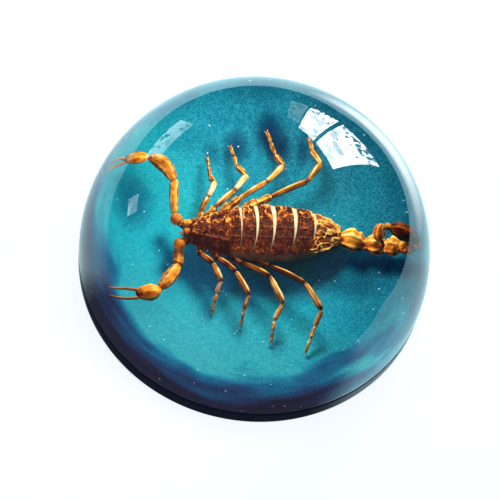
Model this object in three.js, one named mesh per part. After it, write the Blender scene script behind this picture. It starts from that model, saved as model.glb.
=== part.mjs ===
// A domed paperweight, as three castings that are bonded face to face: a clear resin half ball,
// a thin layer of teal glitter resin behind it, and a dark backing disc that is the foot.
// Units are millimetres, +Z is up, and the origin is the centre of the underside.
import * as THREE from "three";

// Driving dimensions
const DOME_RADIUS = 38; // half of the 76 mm diameter
const GLITTER_THICKNESS = 1.0;
const BACKING_THICKNESS = 4.0;
const FOOT_ROUND = 0.8; // radius of the sanded edge round the underside
const SIDES = 72; // facets round the axis
const DOME_STEPS = 18; // facets from the equator to the top
const ROUND_STEPS = 3;

// Heights that follow from them
const GLITTER_BASE = BACKING_THICKNESS;
const DOME_BASE = GLITTER_BASE + GLITTER_THICKNESS;

// Points on an arc of a profile: centre (x, y), radius, and the start and end angles in radians.
function arc(x, y, radius, from, to, steps) {
  const points = [];
  for (let i = 0; i <= steps; i += 1) {
    const angle = from + ((to - from) * i) / steps;
    points.push(new THREE.Vector2(x + radius * Math.cos(angle), y + radius * Math.sin(angle)));
  }
  return points;
}

// A solid of revolution about +Z, from a profile that starts and ends on the axis, lowest point first.
function turned(name, profile, material) {
  const onAxis = profile.map((p) => new THREE.Vector2(Math.abs(p.x) < 1e-6 ? 0 : p.x, p.y));
  const geometry = new THREE.LatheGeometry(onAxis, SIDES);
  geometry.rotateX(Math.PI / 2); // the lathe turns about Y
  const mesh = new THREE.Mesh(geometry, material);
  mesh.name = name;
  return mesh;
}

const clearResin = new THREE.MeshStandardMaterial({
  color: 0xe8f4f4,
  roughness: 0.03,
  metalness: 0,
  transparent: true,
  opacity: 0.3,
});
const glitterResin = new THREE.MeshStandardMaterial({ color: 0x0f9fa6, roughness: 0.35, metalness: 0.3 });
const darkResin = new THREE.MeshStandardMaterial({ color: 0x12141f, roughness: 0.15, metalness: 0 });

// The clear casting, which holds the specimen: half a ball with its flat side down.
function clearDome() {
  const profile = [
    new THREE.Vector2(0, DOME_BASE),
    ...arc(0, DOME_BASE, DOME_RADIUS, 0, Math.PI / 2, DOME_STEPS),
  ];
  return turned("clear_dome", profile, clearResin);
}

// The teal layer, as wide as the dome.
function glitterLayer() {
  const profile = [
    new THREE.Vector2(0, GLITTER_BASE),
    new THREE.Vector2(DOME_RADIUS, GLITTER_BASE),
    new THREE.Vector2(DOME_RADIUS, DOME_BASE),
    new THREE.Vector2(0, DOME_BASE),
  ];
  return turned("glitter_layer", profile, glitterResin);
}

// The foot: a disc with its lower edge sanded round.
function backing() {
  const profile = [
    new THREE.Vector2(0, 0),
    ...arc(DOME_RADIUS - FOOT_ROUND, FOOT_ROUND, FOOT_ROUND, -Math.PI / 2, 0, ROUND_STEPS),
    new THREE.Vector2(DOME_RADIUS, BACKING_THICKNESS),
    new THREE.Vector2(0, BACKING_THICKNESS),
  ];
  return turned("backing", profile, darkResin);
}

const paperweight = new THREE.Group();
paperweight.add(clearDome(), glitterLayer(), backing());

export default paperweight;
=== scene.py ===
# %% [markdown]
# # A scorpion in a resin dome
#
# The object is a paperweight: half a ball of clear resin, cast over a thin teal glitter layer and a dark
# backing, with a dried golden scorpion sealed inside. The solid model already holds the three castings.
# This script gives them their looks and makes the scorpion, which only shows through the resin.

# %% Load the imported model
import math

import bpy
import numpy as np
from mathutils import Matrix, Vector


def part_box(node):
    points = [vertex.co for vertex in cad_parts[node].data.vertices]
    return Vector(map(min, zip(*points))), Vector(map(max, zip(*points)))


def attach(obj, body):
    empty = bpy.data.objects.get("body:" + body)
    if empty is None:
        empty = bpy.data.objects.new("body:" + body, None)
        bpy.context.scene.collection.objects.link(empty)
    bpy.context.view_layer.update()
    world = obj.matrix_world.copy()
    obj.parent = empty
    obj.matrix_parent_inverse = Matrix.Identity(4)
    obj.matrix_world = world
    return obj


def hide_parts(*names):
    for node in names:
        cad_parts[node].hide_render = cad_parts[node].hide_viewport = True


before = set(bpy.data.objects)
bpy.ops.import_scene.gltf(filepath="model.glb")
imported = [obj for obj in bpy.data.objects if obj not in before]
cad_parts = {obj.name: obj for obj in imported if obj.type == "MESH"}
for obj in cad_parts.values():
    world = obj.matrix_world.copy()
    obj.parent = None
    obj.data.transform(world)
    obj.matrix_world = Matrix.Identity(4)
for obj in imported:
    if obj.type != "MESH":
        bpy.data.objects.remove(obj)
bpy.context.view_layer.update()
print("castings:", sorted(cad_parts))

# %% [markdown]
# ## Real sizes
#
# Blender works in metres and a scorpion in millimetres, so every size below is in millimetres and one
# factor, MM, turns it into metres at the moment a mesh is made. The heights of the three castings are read
# from the solid model, so the looks can't drift away from it.

# %% Sizes of the castings
MM = 0.001
dome_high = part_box("clear_dome")[1]
layer_low, layer_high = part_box("glitter_layer")
DOME_RADIUS = dome_high.x / MM
LAYER_TOP = layer_high.z / MM
LAYER_BASE = layer_low.z / MM
FOOT_ROUND = 0.8
print(f"dome radius {DOME_RADIUS:.1f} mm, layer from {LAYER_BASE:.1f} to {LAYER_TOP:.1f} mm")

# %% [markdown]
# ## Finishes
#
# Every finish is a small network of nodes on Object coordinates, which stay fixed to the piece. A few
# helpers wire what the finishes share: noises, colour ramps, sums and blends of them, and bump with its
# real height. The cuticle also reads a tone that each mesh carries, so that the tops of granules and keels
# are golden, partly their own colour and partly a painted highlight, and so that painted light and shade
# make the sides that face the light lighter.

# %% Shaders and textures
def new_finish(name, **sockets):
    """A material with one Principled shader, whose plain values are set straight on its sockets."""
    material = bpy.data.materials.new(name)
    material.use_nodes = True
    shader = material.node_tree.nodes["Principled BSDF"]
    for socket, value in sockets.items():
        shader.inputs[socket.replace("_", " ")].default_value = value
    return material, material.node_tree, shader


def object_place(tree):
    """The Object coordinates, in metres."""
    return tree.nodes.new("ShaderNodeTexCoord").outputs["Object"]


def zoomed(tree, per_mm, stretch=(1, 1, 1)):
    """Object coordinates counted in grains: that many to the millimetre, times a factor along each axis."""
    scale = tree.nodes.new("ShaderNodeMapping")
    scale.inputs["Scale"].default_value = [per_mm / MM * k for k in stretch]
    tree.links.new(object_place(tree), scale.inputs["Vector"])
    return scale.outputs["Vector"]


def noise_at(tree, coordinates, detail):
    """A noise with one grain to each unit of the coordinates."""
    texture = tree.nodes.new("ShaderNodeTexNoise")
    texture.inputs["Scale"].default_value = 1.0
    texture.inputs["Detail"].default_value = detail
    tree.links.new(coordinates, texture.inputs["Vector"])
    return texture.outputs["Fac"]


def noise(tree, per_mm, detail=3.0, stretch=(1, 1, 1)):
    """A noise of that many grains to the millimetre."""
    return noise_at(tree, zoomed(tree, per_mm, stretch), detail)


# %% Sums, ramps and blends
def ramp(tree, value, stops):
    """A colour ramp with stops (position, linear colour)."""
    node = tree.nodes.new("ShaderNodeValToRGB")
    while len(node.color_ramp.elements) < len(stops):
        node.color_ramp.elements.new(0.5)
    for element, (position, color) in zip(node.color_ramp.elements, stops):
        element.position = position
        element.color = (*color, 1)
    tree.links.new(value, node.inputs["Fac"])
    return node.outputs["Color"]


def feed(tree, socket, value):
    """Give a socket its value: another socket, a number, or a plain colour or vector."""
    if not isinstance(value, (int, float, tuple)):
        tree.links.new(value, socket)
    elif isinstance(value, tuple) and socket.type == "RGBA":
        socket.default_value = (*value, 1)
    else:
        socket.default_value = value


def maths(tree, operation, a, b):
    """One Math node."""
    node = tree.nodes.new("ShaderNodeMath")
    node.operation = operation
    for socket, value in zip(node.inputs, (a, b)):
        feed(tree, socket, value)
    return node.outputs["Value"]


def vectors(tree, operation, *values):
    """One Vector Math node."""
    node = tree.nodes.new("ShaderNodeVectorMath")
    node.operation = operation
    for socket, value in zip(node.inputs, values):
        feed(tree, socket, value)
    return node.outputs["Value" if operation in ("LENGTH", "DOT_PRODUCT") else "Vector"]


def blend(tree, factor, a, b, how="MIX"):
    """Colour b over colour a by factor."""
    node = tree.nodes.new("ShaderNodeMix")
    node.data_type = "RGBA"
    node.blend_type = how
    for socket, value in zip([s for s in node.inputs if s.enabled], (factor, a, b)):
        feed(tree, socket, value)
    return next(s for s in node.outputs if s.enabled)


def tint(tree, a, b):
    """Colour a times colour b."""
    return blend(tree, 1.0, a, b, "MULTIPLY")


def bump(tree, shader, height, distance_mm, strength=1.0):
    """Bump on the shader's normal, with its real height in mm."""
    node = tree.nodes.new("ShaderNodeBump")
    node.inputs["Strength"].default_value = strength
    node.inputs["Distance"].default_value = distance_mm * MM
    tree.links.new(height, node.inputs["Height"])
    tree.links.new(node.outputs["Normal"], shader.inputs["Normal"])


# %% [markdown]
# A dried scorpion is glossy chitin over a soft skin. Its colour runs from near black through red brown and
# amber to pale gold within a millimetre, so one wiring serves all its parts, and each part has its own ramp
# of colours.

# %% Cuticle
def cuticle(name, stops, rough=0.34, grain_mm=0.05, wrinkle_mm=0.10, shine=(1.0, 0.78, 0.42)):
    """Scorpion skin. The colour ramp runs over the carried tone, which holds painted light and shade, plus
    half a noise of blotches a millimetre wide, plus a third of a fine grain. The skin has dried, so it is
    bumped by the grain and by wrinkles."""
    material, tree, shader = new_finish(
        name, Roughness=rough, Specular_IOR_Level=0.35, Specular_Tint=(*shine, 1)
    )
    carried = tree.nodes.new("ShaderNodeAttribute")
    carried.attribute_name = "tone"
    blotch, fine, wrinkle = noise(tree, 0.9, 4), noise(tree, 5.5, 3), noise(tree, 1.7, 4)
    shifted = carried.outputs["Fac"]
    for field, share in ((blotch, 0.5), (fine, 0.35)):
        swing = maths(tree, "MULTIPLY", maths(tree, "SUBTRACT", field, 0.5), share)
        shifted = maths(tree, "ADD", shifted, swing)
    tree.links.new(ramp(tree, shifted, stops), shader.inputs["Base Color"])
    heights = ((wrinkle, wrinkle_mm), (fine, grain_mm))
    relief = [maths(tree, "MULTIPLY", field, high) for field, high in heights]
    bump(tree, shader, maths(tree, "ADD", *relief), 1.0)
    return material


dark_cuticle = cuticle(
    "dark_cuticle",
    [(0.0, (0.010, 0.002, 0.002)), (0.30, (0.055, 0.009, 0.004)), (0.50, (0.19, 0.032, 0.006)),
     (0.68, (0.50, 0.12, 0.010)), (0.84, (0.90, 0.36, 0.03)), (1.0, (1.0, 0.62, 0.15))],
)
gold_cuticle = cuticle(
    "gold_cuticle",
    [(0.0, (0.030, 0.006, 0.003)), (0.25, (0.16, 0.035, 0.006)), (0.48, (0.50, 0.17, 0.016)),
     (0.70, (0.90, 0.44, 0.055)), (0.85, (1.0, 0.66, 0.16)), (1.0, (1.0, 0.93, 0.60))],
    rough=0.3,
)
amber_cuticle = cuticle(
    "amber_cuticle",
    [(0.0, (0.055, 0.010, 0.003)), (0.18, (0.22, 0.045, 0.006)), (0.36, (0.52, 0.15, 0.010)),
     (0.56, (0.78, 0.31, 0.022)), (0.8, (0.90, 0.48, 0.06)), (1.0, (1.0, 0.72, 0.24))],
    rough=0.28,
    wrinkle_mm=0.05,
)
tail_cuticle = cuticle(
    "tail_cuticle",
    [(0.0, (0.05, 0.008, 0.003)), (0.18, (0.22, 0.035, 0.005)), (0.38, (0.55, 0.12, 0.008)),
     (0.58, (0.82, 0.28, 0.014)), (0.8, (0.98, 0.50, 0.04)), (1.0, (1.0, 0.78, 0.22))],
    rough=0.26,
)
tan_cuticle = cuticle(
    "tan_cuticle", [(0.0, (0.10, 0.05, 0.015)), (0.5, (0.30, 0.19, 0.055)), (1.0, (0.50, 0.36, 0.13))]
)
finger_cuticle = cuticle(
    "finger_cuticle", [(0.0, (0.14, 0.035, 0.008)), (0.5, (0.42, 0.13, 0.022)), (1.0, (0.72, 0.34, 0.08))]
)
needle_cuticle = cuticle(
    "needle_cuticle",
    [(0.0, (0.02, 0.005, 0.003)), (0.6, (0.10, 0.022, 0.006)), (1.0, (0.3, 0.09, 0.02))],
    rough=0.22,
)
pale_skin = cuticle(
    "pale_skin",
    [(0.0, (0.80, 0.66, 0.36)), (0.35, (0.58, 0.44, 0.20)),
     (0.65, (0.24, 0.17, 0.06)), (1.0, (0.10, 0.06, 0.02))],
    rough=0.45,
    shine=(1, 1, 1),
)
eye_black = cuticle(
    "eye_black",
    [(0.0, (0.006, 0.004, 0.004)), (1.0, (0.03, 0.012, 0.008))],
    rough=0.12,
    grain_mm=0.005,
    wrinkle_mm=0.0,
)
print("cuticle finishes:", sum("cuticle" in material.name for material in bpy.data.materials))

# %% [markdown]
# ## The finishes of the three castings
#
# The clear dome has to bend light as resin does, so it is a fine, smooth closed mesh with full
# transmission, the IOR of cast resin and a little absorption.

# %% Clear resin
clear_resin, tree, shader = new_finish(
    "clear_resin", Base_Color=(1, 1, 1, 1), Roughness=0.0, IOR=1.5, Transmission_Weight=1.0
)
absorb = tree.nodes.new("ShaderNodeVolumeAbsorption")
absorb.inputs["Color"].default_value = (0.80, 0.95, 0.97, 1)
absorb.inputs["Density"].default_value = 2.5
tree.links.new(absorb.outputs["Volume"], tree.nodes["Material Output"].inputs["Volume"])

# %% [markdown]
# The layer behind the scorpion is teal resin full of pearl glitter. Its colour is a ramp over the nearness to
# the rim, 0 on the axis and 1 at the rim: teal in the middle, then painted shade, navy and near black towards
# the rim, where little light reaches the layer through the dome. Clouds and streaks along the rim push that
# nearness in and out, and so do five pushes, each of which starts at some distance along a direction and
# grows from there, so they shape the edge of the painted shade. The streaks are a noise on the outward
# direction and the radius.

# %% Nearness to the rim
RADIUS_M = DOME_RADIUS * MM
STREAKS_AROUND, STREAKS_INWARD, STREAK_MIDDLE, STREAK_DEPTH = 1.9, 8.0, 0.48, 0.5
glitter, layer_tree, layer_shader = new_finish("glitter_resin", Roughness=0.6, Specular_IOR_Level=0.0)
place = object_place(layer_tree)


def calc(operation, a, b):
    """One Math node of the layer."""
    return maths(layer_tree, operation, a, b)


def along(direction):
    """How far a point lies along a flat direction, as a share of the dome's radius."""
    return vectors(layer_tree, "DOT_PRODUCT", place, tuple(v / RADIUS_M for v in (*direction, 0)))


def beyond(direction, start, growth):
    """Growth times the distance past start along a direction, and nothing before it."""
    return calc("MULTIPLY", calc("MAXIMUM", calc("SUBTRACT", along(direction), start), 0.0), growth)


def rim_streaks(flat, from_axis):
    """A noise on the unit outward vector times 1.9, with 8 times the radius as its third axis, less its
    middle."""
    inward = layer_tree.nodes.new("ShaderNodeCombineXYZ")
    feed(layer_tree, inward.inputs["Z"], calc("MULTIPLY", from_axis, STREAKS_INWARD))
    outward = vectors(layer_tree, "NORMALIZE", flat)
    around = (STREAKS_AROUND, STREAKS_AROUND, 0)
    swirl = vectors(layer_tree, "MULTIPLY_ADD", outward, around, inward.outputs["Vector"])
    return calc("MULTIPLY", calc("SUBTRACT", noise_at(layer_tree, swirl, 2.0), STREAK_MIDDLE), STREAK_DEPTH)


flat = vectors(layer_tree, "MULTIPLY", place, (1, 1, 0))
from_axis = calc("DIVIDE", vectors(layer_tree, "LENGTH", flat), RADIUS_M)
clouds = noise(layer_tree, 0.09, 2)
tail_shore = beyond((0.95, -0.31), 0.60, -0.7)
pushes = [
    rim_streaks(flat, from_axis),
    beyond((0.35, 0.94), 0.0, -0.16),
    beyond((-0.97, 0.25), 0.48, 0.26),
    beyond((-0.75, -0.66), 0.64, 0.24),
    beyond((0.5, -0.87), 0.62, -0.35),
    tail_shore,
]
nearness = calc("ADD", calc("MULTIPLY", clouds, 0.16), from_axis)
for push in pushes:
    nearness = calc("ADD", nearness, push)
print("pushes on the rim:", len(pushes))

# %% [markdown]
# Three tints then go over the ramp, all painted light and shade. Painted shade turns the teal a deeper blue
# towards the rear and the tail. The shore under the tail is lit through the dome, so it is painted lighter.
# Painted light makes the front half paler and greener, but only inside the rim.

# %% Teal with painted rim shade, and painted light and shade over it
# Painted shade: the ramp runs from teal to navy and near black at the rim, where little light reaches the
# layer.
teal_and_rim_shade = ramp(
    layer_tree,
    nearness,
    [(0.0, (0.012, 0.33, 0.33)), (0.70, (0.011, 0.30, 0.31)), (0.775, (0.009, 0.13, 0.20)),
     (0.84, (0.012, 0.06, 0.12)), (0.93, (0.014, 0.026, 0.062)), (1.0, (0.014, 0.012, 0.027))],
)
# Painted shade: the teal turns darker and bluer towards the rear and the tail.
rear_shade = calc("ADD", calc("MULTIPLY", clouds, 0.5), along((0.85, 0.62)))
rear_shade_stops = [(0.15, (1, 1, 1)), (0.45, (0.80, 0.69, 0.81)), (0.85, (0.48, 0.33, 0.44))]
tinted = tint(layer_tree, teal_and_rim_shade, ramp(layer_tree, rear_shade, rear_shade_stops))
# Painted light: the shore under the tail is lighter.
lit_shore = calc("MINIMUM", calc("MULTIPLY", tail_shore, -8.0), 1.0)
tinted = blend(layer_tree, lit_shore, tinted, tint(layer_tree, tinted, (1.6, 2.5, 2.0)))
# Painted light: the front half is paler and greener inside the rim.
painted_front_light = calc("MINIMUM", beyond((-0.40, -0.92), 0.15, 2.0), 1.0)
inside_rim = calc("MULTIPLY", calc("MAXIMUM", calc("SUBTRACT", 0.80, nearness), 0.0), 7.0)
pale = calc("MULTIPLY", painted_front_light, calc("MINIMUM", inside_rim, 1.0))
tinted = blend(layer_tree, pale, tinted, tint(layer_tree, tinted, (3.4, 1.0, 0.93)))

# %% [markdown]
# The glitter is three cell patterns: fine flakes and coarser dust that speckle the colour, and a few lucky
# cells painted pale as glints. Soft dark spots are painted shadows: past the feet, beside the belly, under
# the tail and by the left arm, where the blurred shadows of a light that isn't in the scene would fall.

# %% Glitter and painted shadows
# Each painted shadow: x, y, half width and half depth in mm, and its strength.
PAINTED_SHADOWS = (
    (2.0, 18.0, 2.7, 3.6, 0.92),
    (3.4, 15.6, 2.0, 2.9, 0.8),
    (-2.6, 15.6, 2.3, 2.9, 0.82),
    (-5.9, 14.8, 1.5, 2.2, 0.5),
    (6.3, 16.0, 1.3, 3.0, 0.7),
    (-18.1, 7.9, 4.3, 6.2, 0.68),
    (15.0, -4.8, 6.5, 2.8, 0.5),
    (17.5, -1.6, 8.0, 2.0, 0.55),
    (1.5, -5.4, 4.0, 2.4, 0.35),
    (0.0, 23.5, 4.5, 2.5, 0.35),
    (-9.5, 16.5, 4.0, 2.5, 0.2),
)
FLAKES_PER_MM, DUST_PER_MM, SPARKS_PER_MM, SPARK_LUCK, SPARK_WIDTH = 6.2, 3.1, 2.6, 0.9945, 0.25
BLUE_KEPT = 0.82
SIDE_BLUE = (0.14, 0.12, 0.19)


def painted_shadow(x, y, half_width, half_depth, strength):
    """A painted shadow, as a factor on the colour: 1 less strength in the middle of an oval about (x, y),
    rising to 1 past its edge, which noise makes crooked. Blue is kept a little more than red and green."""
    offset = vectors(layer_tree, "SUBTRACT", place, (x * MM, y * MM, 0))
    oval = vectors(layer_tree, "MULTIPLY", offset, (1 / (half_width * MM), 1 / (half_depth * MM), 0))
    crooked = calc("MULTIPLY", calc("SUBTRACT", noise(layer_tree, 0.35, 2), 0.5), 0.6)
    away = calc("ADD", vectors(layer_tree, "LENGTH", oval), crooked)
    dips = [(at, share * strength) for at, share in ((0.0, 1.0), (0.45, 0.75), (1.0, 0.0))]
    return ramp(layer_tree, away, [(at, (1 - dip, 1 - dip, 1 - BLUE_KEPT * dip)) for at, dip in dips])


def flakes(per_mm):
    """One random grey for each small flake, from a cell pattern laid flat on the layer, and the distance to
    the middle of the flake."""
    cells = layer_tree.nodes.new("ShaderNodeTexVoronoi")
    cells.inputs["Scale"].default_value = 1.0
    layer_tree.links.new(zoomed(layer_tree, per_mm, (1, 1, 0)), cells.inputs["Vector"])
    split = layer_tree.nodes.new("ShaderNodeSeparateColor")
    layer_tree.links.new(cells.outputs["Color"], split.inputs["Color"])
    return split.outputs["Red"], cells.outputs["Distance"]


grain, _ = flakes(FLAKES_PER_MM)
dust, _ = flakes(DUST_PER_MM)
fine_greys = [(0.0, (0.20, 0.50, 0.62)), (0.5, (0.82, 0.93, 0.96)), (1.0, (3.6, 1.46, 1.33))]
soft_greys = [(0.0, (0.74, 0.86, 0.90)), (0.6, (1, 1, 1)), (1.0, (1.5, 1.1, 1.07))]
fine_speckle, soft_speckle = ramp(layer_tree, grain, fine_greys), ramp(layer_tree, dust, soft_greys)
fineness = calc("MINIMUM", calc("ADD", calc("MULTIPLY", rear_shade, 0.7), 0.35), 1.0)
speckles = [tint(layer_tree, tinted, speckle) for speckle in (soft_speckle, fine_speckle)]
speckled = blend(layer_tree, fineness, *speckles)
# Painted shadows darken the speckled colour.
for spot in PAINTED_SHADOWS:
    speckled = tint(layer_tree, speckled, painted_shadow(*spot))

# %% Painted glints and the layer's outer side
lucky, from_middle = flakes(SPARKS_PER_MM)
swarm = calc("MULTIPLY", calc("SUBTRACT", noise(layer_tree, 0.16, 1), 0.45), 0.03)
chosen = calc("GREATER_THAN", calc("ADD", lucky, swarm), SPARK_LUCK)
painted_glint = calc("MULTIPLY", chosen, calc("LESS_THAN", from_middle, SPARK_WIDTH))
# Painted glints: the chosen cells are painted pale in the colour.
with_painted_glints = blend(layer_tree, painted_glint, speckled, (0.75, 0.95, 0.92))
height = layer_tree.nodes.new("ShaderNodeSeparateXYZ")
layer_tree.links.new(place, height.inputs[0])
outer_side = calc("LESS_THAN", height.outputs["Z"], (LAYER_TOP - 0.02) * MM)
layer_tree.links.new(blend(layer_tree, outer_side, with_painted_glints, SIDE_BLUE), layer_shader.inputs["Base Color"])
bump(layer_tree, layer_shader, grain, 0.01, 0.4)
print("painted shadows on the glitter:", len(PAINTED_SHADOWS))

# %% [markdown]
# The backing is the same resin with more navy in it, clouded by a broad noise, sanded and a little glossy.

# %% Dark backing
dark_resin, tree, shader = new_finish("dark_resin", Roughness=0.35, Specular_IOR_Level=0.25)
navy_clouds = ramp(tree, noise(tree, 0.2, 3), [(0.3, SIDE_BLUE), (0.7, (0.18, 0.16, 0.24))])
tree.links.new(navy_clouds, shader.inputs["Base Color"])
bump(tree, shader, noise(tree, 2.0, 3), 0.01, 0.3)

# %% [markdown]
# ## Surfaces from arrays
#
# A scorpion is built of hard plates and hollow tubes. Each one can be worked out as a sheet of points with
# two parameters, one along the piece and one across it. The helpers below turn such a sheet into a mesh: a
# closed skin for what is round, and a plate with a thickness for what is a shield. Sculpting could make one
# such animal, but formulas keep every length in plain sight.

# %% Smooth lines through a few stations
def through(stations, values, t):
    """A smooth line through the values at the stations: between two of them, the cubic with their mean
    slopes."""
    stations = np.asarray(stations, float)
    values = np.asarray(values, float)
    t = np.clip(t, stations[0], stations[-1])
    slopes = np.gradient(values, stations, axis=0)
    i = np.clip(np.searchsorted(stations, t, side="right") - 1, 0, len(stations) - 2)
    span = stations[i + 1] - stations[i]
    s = (t - stations[i]) / span
    if values.ndim > 1:
        span, s = span[:, None], s[:, None]
    start = (1 + 2 * s) * (1 - s) ** 2 * values[i] + s * (1 - s) ** 2 * span * slopes[i]
    end = s**2 * (3 - 2 * s) * values[i + 1] + s**2 * (s - 1) * span * slopes[i + 1]
    return start + end


def unit(v):
    """Each vector divided by its length."""
    return v / np.maximum(np.linalg.norm(v, axis=-1, keepdims=True), 1e-9)


rng = np.random.default_rng(7)


def granules(rows, columns, size, strength):
    """Small random bumps on a grid: random heights, blurred over size cells each way, and scaled to
    0..strength."""
    heights = rng.random((rows, columns))
    for _ in range(size):
        heights = sum(np.roll(heights, shift, (0, 1)) for shift in ((0, 0), (1, 0), (0, 1), (1, 1))) / 4
    return strength * (heights - heights.min()) / np.ptp(heights)


def lumps(rows, columns, cell, round_about=False):
    """Soft lumps 0..1 on a grid: random heights at every cell-th point, joined by smooth steps in between.
    Round about, the last column meets the first one, as on a tube."""
    around = max(round(columns / cell), 3)
    r = np.arange(rows) / cell
    c = np.arange(columns) * around / columns if round_about else np.arange(columns) / cell
    grid = rng.random((int(r[-1]) + 2, int(c[-1]) + 2))
    if round_about:
        grid[:, around] = grid[:, 0]
    i, j = r.astype(int)[:, None], c.astype(int)[None, :]
    s, t = (r % 1)[:, None], (c % 1)[None, :]
    s, t = s * s * (3 - 2 * s), t * t * (3 - 2 * t)
    near, far = ((1 - t) * grid[i + k, j] + t * grid[i + k, j + 1] for k in (0, 1))
    return (1 - s) * near + s * far


def crests(rows, columns, cell):
    """Crumpled crests 0..1: half soft lumps of two sizes, half thin crooked folds, which run where another
    field of lumps passes its middle height."""
    field = 0.68 * lumps(rows, columns, 1.5 * cell) + 0.32 * lumps(rows, columns, cell / 1.9)
    folds = np.exp(-(((field - 0.5) / 0.075) ** 2))
    soft = 0.6 * lumps(rows, columns, cell) + 0.4 * lumps(rows, columns, cell / 2.2)
    return np.clip(0.5 * folds + 0.75 * (soft - 0.2), 0, 1)


# %% Meshes from sheets of points
def mesh_object(name, points, faces, material, tone=None):
    """A smooth mesh from points in mm. Faces are turned outwards if the volume they enclose comes out
    negative, and a face that names one point twice in a row becomes a triangle."""
    points = points * MM
    a, b, c, d = (points[faces[:, k]] for k in range(4))
    volume = (np.einsum("ij,ij->i", a, np.cross(b, c)) + np.einsum("ij,ij->i", a, np.cross(c, d))).sum()
    if volume < 0:
        faces = faces[:, ::-1]
    pointed = faces[:, 0] == faces[:, 1]
    shut = faces[:, 2] == faces[:, 3]
    listed = faces.tolist()
    listed = [f[1:] if p else f[:3] if s else f for f, p, s in zip(listed, pointed, shut)]
    mesh = bpy.data.meshes.new(name)
    mesh.from_pydata(points.tolist(), [], listed)
    mesh.shade_smooth()
    mesh.materials.append(material)
    if tone is not None:
        tones = np.asarray(tone, np.float32).ravel()
        mesh.attributes.new("tone", "FLOAT", "POINT").data.foreach_set("value", tones)
    made = bpy.data.objects.new(name, mesh)
    bpy.context.scene.collection.objects.link(made)
    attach(made, "root")
    return made


def skin_of(rings, offset=0):
    """Points and faces of a closed skin through rings (n, m, 3), each end closed by a point at its ring's
    middle."""
    n, m, _ = rings.shape
    i, j = np.meshgrid(np.arange(n - 1), np.arange(m), indexing="ij")
    k = (j + 1) % m
    sides = np.stack([i * m + j, i * m + k, (i + 1) * m + k, (i + 1) * m + j], -1).reshape(-1, 4)
    ring = np.arange(m)
    after = (ring + 1) % m
    low, high = n * m, n * m + 1
    first = np.stack([after, ring, np.full(m, low), np.full(m, low)], -1)
    last = np.stack([(n - 1) * m + ring, (n - 1) * m + after, np.full(m, high), np.full(m, high)], -1)
    points = np.vstack([rings.reshape(-1, 3), rings[0].mean(0), rings[-1].mean(0)])
    return points, np.vstack([sides, first, last]) + offset


def joined(parts):
    """Several (rings, tone) skins as one list of points, faces and tones."""
    points, faces, tones, offset = [], [], [], 0
    for rings, tone in parts:
        p, f = skin_of(rings, offset)
        points.append(p)
        faces.append(f)
        full = np.broadcast_to(tone, rings.shape[:2])
        tones.append(np.concatenate([full.ravel(), [full[0].mean(), full[-1].mean()]]))
        offset += len(p)
    return np.vstack(points), np.vstack(faces), np.concatenate(tones)


def skins(name, parts, material):
    """One piece of the scorpion made of several closed skins."""
    points, faces, tones = joined(parts)
    return mesh_object(name, points, faces, material, tones)


def shield(name, outer, inner, material, tone=0.0):
    """A plate of the scorpion: an outer and an inner sheet (n, m, 3) of the same grid, joined all round by
    a rim."""
    n, m, _ = outer.shape
    i, j = np.meshgrid(np.arange(n - 1), np.arange(m - 1), indexing="ij")
    top = np.stack([i * m + j, i * m + j + 1, (i + 1) * m + j + 1, (i + 1) * m + j], -1).reshape(-1, 4)
    under = top[:, ::-1] + n * m
    grid = np.arange(n * m).reshape(n, m)
    edge = np.concatenate([grid[0, :-1], grid[:-1, -1], grid[-1, :0:-1], grid[:0:-1, 0]])
    after = np.roll(edge, -1)
    rim = np.stack([edge, edge + n * m, after + n * m, after], -1)
    points = np.vstack([outer.reshape(-1, 3), inner.reshape(-1, 3)])
    tones = np.concatenate([np.broadcast_to(tone, (n, m)).ravel()] * 2)
    return mesh_object(name, points, np.vstack([top, under, rim]), material, tones)


# %% [markdown]
# ## Tubes along a path
#
# Legs, claws and tail are chains of hollow tubes. Each tube here is a path of a few points with a width and a
# height at stations along it. Its ends are rounded in, so that two tubes meet in a real joint with a pinch.

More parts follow.
